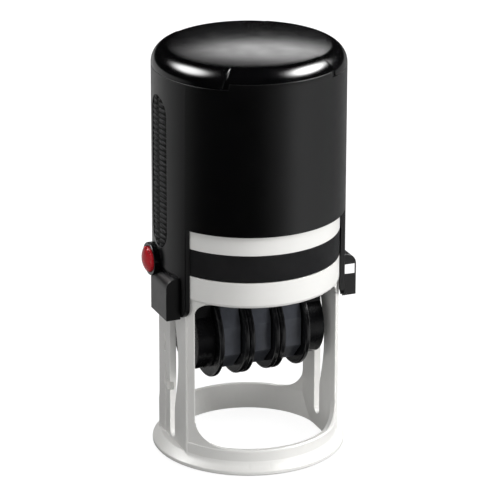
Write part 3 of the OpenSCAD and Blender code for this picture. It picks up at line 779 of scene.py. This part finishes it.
sleeve = softened("cap_shell", "cap_sleeve", width=0.2, share=sleeve_share)
dress(sleeve, "cap", "black_satin", "cap_shell")
dress(cover_dome(), "cap", "black_gloss", "top_cover")
dress(ridged_grip("left_grip_pad", side=-1.0), "cap", "black_rubber", "left_grip")
dress(ridged_grip("right_grip_pad", side=1.0), "cap", "black_rubber", "right_grip")
dress(softened("left_clip", "left_clip_block", width=0.2), "cap", "black_satin", "left_clip")
dress(softened("right_clip", "right_clip_block", width=0.15), "cap", "black_satin", "right_clip")
dress(softened("button_housing", "button_collar", width=0.25), "cap", "black_gloss", "button_housing")
spring = dress(button_coil(), "cap", "steel_wire", "button_spring")
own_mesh(spring)
dress(softened("lock_button", "red_button", width=0.3), "button", "red_plastic", "lock_button")

dress(softened("date_carrier", "carrier_body", width=0.3), "carrier", "dark_plastic", "date_carrier")
dress(softened("text_plate", "stamp_plate", width=0.15), "carrier", "stamp_rubber", "text_plate")
for name in ("day", "month", "year"):
    belt = softened(name + "_band", name + "_belt", width=0.25)
    dress(belt, "carrier", "band_rubber", name + "_band")
    disc = softened(name + "_wheel", name + "_disc", width=0.5, segments=3)
    dress(disc, name + "_dial", "dark_plastic", name + "_wheel")
    paint(disc, WHEEL_FINISH)

for name, slot in (("left_pivot_pin", "steel_pin"), ("right_pivot_pin", "steel_pin"),
                   ("wheel_axle", "steel_pin"), ("nose_bar", "inner_plastic")):
    paint(nodes[name], FINISHES[slot])


# ------------------------------------------------------------ camera and light

# Camera fitted to the photo, in metres and degrees
TO_CAMERA = Vector((-0.38268, -0.92388, 0.0))
TO_RIGHT = Vector((0.92388, -0.38268, 0.0))
CAMERA_AT = (-0.3246, -0.7847, 0.3719)
CAMERA_WAY = (0.3588, 0.8663, -0.3476)
CAMERA_ROLL = 0.142
FOCAL_LENGTH = 232.87
SENSOR_WIDTH = 36.0
CAMERA_FAR = 50.0

# Floor and reflection card: size, heights, the floor's tones from near to far and its own grey
FLOOR_R = 8.0
FLOOR_Z = -0.0003
CARD_Z = 0.0001
FLOOR_WHITES = [(0.2, 0.79), (0.7, 0.90)]
FLOOR_GLOW = 0.10
FLOOR_GREY = (0.22, 0.22, 0.22, 1.0)
# The card's painted shadow of the stamp in reflections: dark under and close round it, full tone further
# out
CARD_PAINTED_SHADOW = [(0.04, 0.0), (0.085, 1.0)]
CARD_TONES = (
    (-174, 0.0), (-152, 0.55), (-124, 0.62), (-94, 0.46), (-62, 0.0), (12, 0.0),
    (34, 0.17), (58, 0.90), (86, 0.58), (124, 0.30), (152, 0.32), (174, 0.0))

# World: height and turn of the board behind, light left in the dark studio, even light on matt surfaces
BOARD_RISE = math.radians(21.2)
BOARD_RIGHT = 0.022
STUDIO_DARK = 0.005
EVEN_LIGHT = 0.10
WHITE = (1.0, 1.0, 1.0, 1.0)

# Lamps: distance and size, the point they face, and each one's direction and power
LAMP_DISTANCE = 0.8
LAMP_SIZE = 0.5
LAMP_AIM = Vector((0, 0, 0.07))
LAMPS = (
    ("key_light", (0.75, -0.62, 0.25), 7.1),
    ("high_fill", (-0.25, -0.6, 0.75), 1.8),
    ("left_fill", (-0.92, -0.38, 0.02), 1.6),
    ("front_fill", (-0.40, -0.91, 0.02), 1.3),
    ("right_rim", (0.5, 0.6, 0.6), 1.6),
    ("back_fill", (0.14, 0.94, 0.30), 3.6),
)


def add_camera():
    lens = bpy.data.cameras.new("photo_camera")
    lens.lens = FOCAL_LENGTH
    lens.sensor_width = SENSOR_WIDTH
    lens.clip_end = CAMERA_FAR
    camera = bpy.data.objects.new("photo_camera", lens)
    scene.collection.objects.link(camera)
    forward = Vector(CAMERA_WAY).normalized()
    roll = math.radians(CAMERA_ROLL)
    up = TO_RIGHT.cross(forward).normalized()
    right = TO_RIGHT * math.cos(roll) + up * math.sin(roll)
    up = up * math.cos(roll) - TO_RIGHT * math.sin(roll)
    axes = Matrix((right, up, -forward)).transposed().to_4x4()
    camera.matrix_world = Matrix.Translation(CAMERA_AT) @ axes
    scene.camera = camera


class Glow(Wiring):
    """The light-giving node tree of a material or a world."""

    def __init__(self, owner):
        owner.use_nodes = True
        super().__init__(owner.node_tree)
        self.tree.nodes.clear()

    def rays(self):
        return self.node("ShaderNodeLightPath").outputs

    def place(self, kind):
        return self.node("ShaderNodeTexCoord").outputs[kind]

    def along(self, vector, direction):
        return self.dot(vector, tuple(direction))

    def tones(self, value, stops):
        """A smooth run of grey tones over 0 to 1."""
        made = self.node("ShaderNodeValToRGB", value)
        made.color_ramp.interpolation = "EASE"
        elements = made.color_ramp.elements
        while len(elements) < len(stops):
            elements.new(0.5)
        for element, (place, tone) in zip(elements, stops):
            element.position = place
            element.color = (tone, tone, tone, 1.0)
        return made.outputs["Color"]

    def lobe(self, direction, centre, across, wide, high, strength):
        """A soft box of light round a direction, with a flat middle and fading edges."""
        centre = Vector(centre).normalized()
        side = (Vector(across) - centre * centre.dot(Vector(across))).normalized()
        rise = centre.cross(side)
        u = self.math("DIVIDE", self.along(direction, side), wide)
        v = self.math("DIVIDE", self.along(direction, rise), high)
        spread = self.math("ADD", self.math("MULTIPLY", u, u), self.math("MULTIPLY", v, v))
        fade = self.math("EXPONENT", self.math("MULTIPLY", self.math("MULTIPLY", spread, spread), -1.0))
        ahead = self.math("GREATER_THAN", self.along(direction, centre), 0.0)
        return self.math("MULTIPLY", self.math("MULTIPLY", fade, ahead), strength)

    def end(self, surface, kind):
        self.link(surface, self.node(kind).inputs["Surface"])


def flat_disc(name, height, material):
    """A level disc under the whole scene."""
    form = bmesh.new()
    angles = [TAU * k / TURN_ROWS for k in range(TURN_ROWS)]
    form.faces.new([form.verts.new((FLOOR_R * math.cos(a), FLOOR_R * math.sin(a), height)) for a in angles])
    disc = add_piece(name, form_mesh(form, name))
    paint(disc, material)
    return disc


def add_floor():
    """A white floor: it shows the background's white, gives some light back and keeps a soft shadow."""
    material = bpy.data.materials.new("white_floor")
    glow = Glow(material)
    rays = glow.rays()
    seen = glow.math("MAXIMUM", rays["Is Camera Ray"],
                     glow.math("MAXIMUM", rays["Is Glossy Ray"], rays["Is Transmission Ray"]))
    reach = glow.length(glow.place("Object"))
    white = glow.tones(glow.math("MULTIPLY", reach, 0.5), FLOOR_WHITES)
    light = glow.out("ShaderNodeEmission", WHITE, glow.math("MULTIPLY_ADD", seen, white, FLOOR_GLOW))
    matt = glow.out("ShaderNodeBsdfDiffuse", FLOOR_GREY)
    glow.end(glow.out("ShaderNodeAddShader", light, matt), "ShaderNodeOutputMaterial")
    floor = flat_disc("floor", FLOOR_Z, material)


def add_reflection_card():
    """A studio card on the floor that only reflections see: dark before and behind the stamp, and a painted
    shadow under and close round it.
    """
    material = bpy.data.materials.new("card_tones")
    glow = Glow(material)
    place = glow.place("Object")
    angle = glow.math("ARCTAN2", glow.along(place, TO_RIGHT), glow.along(place, TO_CAMERA))
    turn = glow.math("MULTIPLY_ADD", angle, 1 / TAU, 0.5)
    tone = glow.tones(turn, [(degrees / 360 + 0.5, level) for degrees, level in CARD_TONES])
    # Painted shadow: the card's tones fade to dark under and near the stamp
    shown = glow.math("MULTIPLY", tone, glow.tones(glow.length(place), CARD_PAINTED_SHADOW))
    glow.end(glow.out("ShaderNodeEmission", shown, 1.0), "ShaderNodeOutputMaterial")
    card = flat_disc("reflection_card", CARD_Z, material)
    card.visible_camera = False
    card.visible_diffuse = False
    card.visible_transmission = False
    card.visible_shadow = False


def add_studio():
    """White for the camera, even light for matt surfaces, a dark studio with soft boxes for gloss."""
    world = bpy.data.worlds.new("studio")
    scene.world = world
    glow = Glow(world)
    rays = glow.rays()
    way = glow.place("Generated")
    behind = -TO_CAMERA * math.cos(BOARD_RISE) + Vector((0, 0, math.sin(BOARD_RISE)))
    board = glow.lobe(way, behind + BOARD_RIGHT * TO_RIGHT, TO_RIGHT, wide=0.080, high=0.066, strength=2.9)
    left_box = glow.lobe(way, (-0.58, 0.38, 0.72), (0.55, 0.83, 0.0), wide=0.36, high=0.26, strength=22.0)
    right_box = glow.lobe(way, (0.68, -0.14, 0.72), (0.2, 0.98, 0.0), wide=0.40, high=0.26, strength=37.0)
    gloss = glow.math("ADD", glow.math("ADD", board, STUDIO_DARK), glow.math("ADD", left_box, right_box))
    gloss = glow.math("MULTIPLY", gloss, rays["Is Glossy Ray"])
    seen = glow.math("MAXIMUM", rays["Is Camera Ray"], rays["Is Transmission Ray"])
    even = glow.math("MULTIPLY", rays["Is Diffuse Ray"], EVEN_LIGHT)
    total = glow.math("ADD", glow.math("ADD", gloss, seen), even)
    glow.end(glow.out("ShaderNodeBackground", WHITE, total), "ShaderNodeOutputWorld")


def add_lamp(name, direction, power):
    lamp = bpy.data.lights.new(name, "AREA")
    lamp.shape = "DISK"
    lamp.size = LAMP_SIZE
    lamp.energy = power
    holder = bpy.data.objects.new(name, lamp)
    scene.collection.objects.link(holder)
    way = Vector(direction).normalized()
    holder.location = LAMP_AIM + way * LAMP_DISTANCE
    holder.rotation_mode = "QUATERNION"
    holder.rotation_quaternion = (-way).to_track_quat("-Z", "Y")
    holder.visible_glossy = False
    holder.visible_camera = False


scene.view_settings.view_transform = "Standard"
add_camera()
add_floor()
add_reflection_card()
add_studio()
for name, direction, power in LAMPS:
    add_lamp(name, direction, power)
